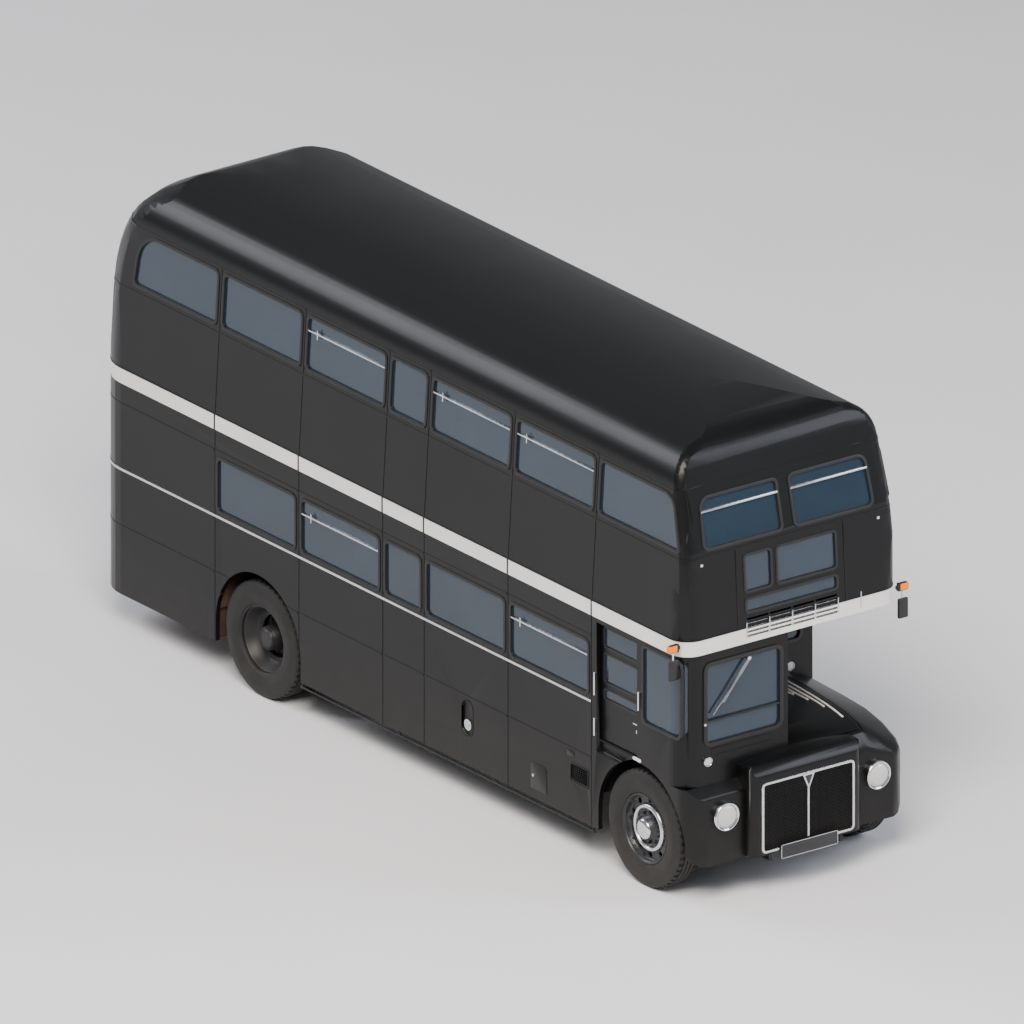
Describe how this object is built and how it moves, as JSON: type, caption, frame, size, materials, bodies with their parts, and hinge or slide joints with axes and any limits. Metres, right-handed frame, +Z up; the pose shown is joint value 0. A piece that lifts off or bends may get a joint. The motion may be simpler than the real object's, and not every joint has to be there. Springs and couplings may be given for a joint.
{
  "type": "double decker bus",
  "caption": "Half-cab double-decker bus with an open rear platform, radiator cowl nose, two rows of windows and a light band at the upper floor.",
  "frame": {"origin": "on the ground under the centre of the bus's box", "axes": "+Z up, the front faces -Y, the driver's side is -X and the kerb side is +X"},
  "size_m": [2.68, 9.14, 4.4],
  "materials": {
    "body_paint": "gloss",
    "floor": "satin",
    "stair_metal": "satin",
    "bright_trim": "polished",
    "lamp_glass": "gloss",
    "amber_lens": "gloss",
    "dark_plastic": "satin",
    "window_glass": "gloss",
    "seat_cloth": "matte",
    "seat_leather": "satin",
    "chassis_paint": "satin",
    "engine_iron": "matte",
    "wheel_paint": "satin",
    "tyre": "matte"
  },
  "bodies": {
    "bus_body": {"offside_lower_side": "body_paint", "nearside_lower_side": "body_paint", "offside_upper_side": "body_paint", "nearside_upper_side": "body_paint", "upper_front_panel": "body_paint", "upper_rear_panel": "body_paint", "lower_rear_panel": "body_paint", "roof": "body_paint", "lower_floor": "floor", "upper_floor": "floor", "platform": "floor", "front_bulkhead": "body_paint", "staircase": "stair_metal", "cab_shell": "body_paint", "radiator_cowl": "body_paint", "radiator_grille": "bright_trim", "offside_wing": "body_paint", "nearside_wing": "body_paint", "lamps": "lamp_glass", "indicators": "amber_lens", "mirrors": "dark_plastic", "number_plates": "dark_plastic", "window_glass": "window_glass", "lower_seats": "seat_cloth", "upper_seats": "seat_cloth", "driver_seat": "seat_leather", "grab_rails": "bright_trim", "chassis_frame": "chassis_paint", "axles": "chassis_paint", "engine": "engine_iron"},
    "offside_knuckle": {"offside_knuckle": "chassis_paint"},
    "nearside_knuckle": {"nearside_knuckle": "chassis_paint"},
    "offside_front_wheel": {"offside_front_wheel": "wheel_paint", "offside_front_tyre": "tyre"},
    "nearside_front_wheel": {"nearside_front_wheel": "wheel_paint", "nearside_front_tyre": "tyre"},
    "offside_rear_wheels": {"offside_rear_wheels": "wheel_paint", "offside_rear_tyres": "tyre"},
    "nearside_rear_wheels": {"nearside_rear_wheels": "wheel_paint", "nearside_rear_tyres": "tyre"},
    "cab_door": {"cab_door": "body_paint", "door_glass": "window_glass"},
    "bonnet": {"bonnet": "body_paint"},
    "emergency_window": {"emergency_window": "body_paint"},
    "steering_wheel": {"steering_wheel": "dark_plastic"}
  },
  "joints": [
    {"name": "offside_steer", "type": "hinge", "parent": "bus_body", "child": "offside_knuckle", "pos_m": [-0.85, -3.675, 0.55], "axis": [0, 0, 1], "range_deg": [-35, 35]},
    {"name": "nearside_steer", "type": "hinge", "parent": "bus_body", "child": "nearside_knuckle", "pos_m": [0.85, -3.675, 0.55], "axis": [0, 0, 1], "range_deg": [-35, 35]},
    {"name": "steering_wheel_turn", "type": "hinge", "parent": "bus_body", "child": "steering_wheel", "pos_m": [-0.66, -3.92, 1.83], "axis": [0, 0.3746, 0.9272], "range_deg": [-420, 420]},
    {"name": "offside_front_spin", "type": "hinge", "parent": "offside_knuckle", "child": "offside_front_wheel", "pos_m": [-1.06, -3.675, 0.55], "axis": [1, 0, 0], "continuous": true},
    {"name": "nearside_front_spin", "type": "hinge", "parent": "nearside_knuckle", "child": "nearside_front_wheel", "pos_m": [1.06, -3.675, 0.55], "axis": [1, 0, 0], "continuous": true},
    {"name": "offside_rear_spin", "type": "hinge", "parent": "bus_body", "child": "offside_rear_wheels", "pos_m": [-1.06, 2.055, 0.55], "axis": [1, 0, 0], "continuous": true},
    {"name": "nearside_rear_spin", "type": "hinge", "parent": "bus_body", "child": "nearside_rear_wheels", "pos_m": [1.06, 2.055, 0.55], "axis": [1, 0, 0], "continuous": true},
    {"name": "cab_door_slide", "type": "slide", "parent": "bus_body", "child": "cab_door", "axis": [0, 1, 0], "range_m": [0, 0.55]},
    {"name": "bonnet_lift", "type": "hinge", "parent": "bus_body", "child": "bonnet", "pos_m": [-0.028, -3.6, 1.43], "axis": [0, -1, 0], "range_deg": [0, 60]},
    {"name": "emergency_window_lift", "type": "hinge", "parent": "bus_body", "child": "emergency_window", "pos_m": [0, 4.46124, 3.74511], "axis": [1, 0, 0], "range_deg": [0, 70]}
  ],
  "couplings": [
    {"joint": "nearside_steer", "follows": "offside_steer", "ratio": 1}
  ]
}
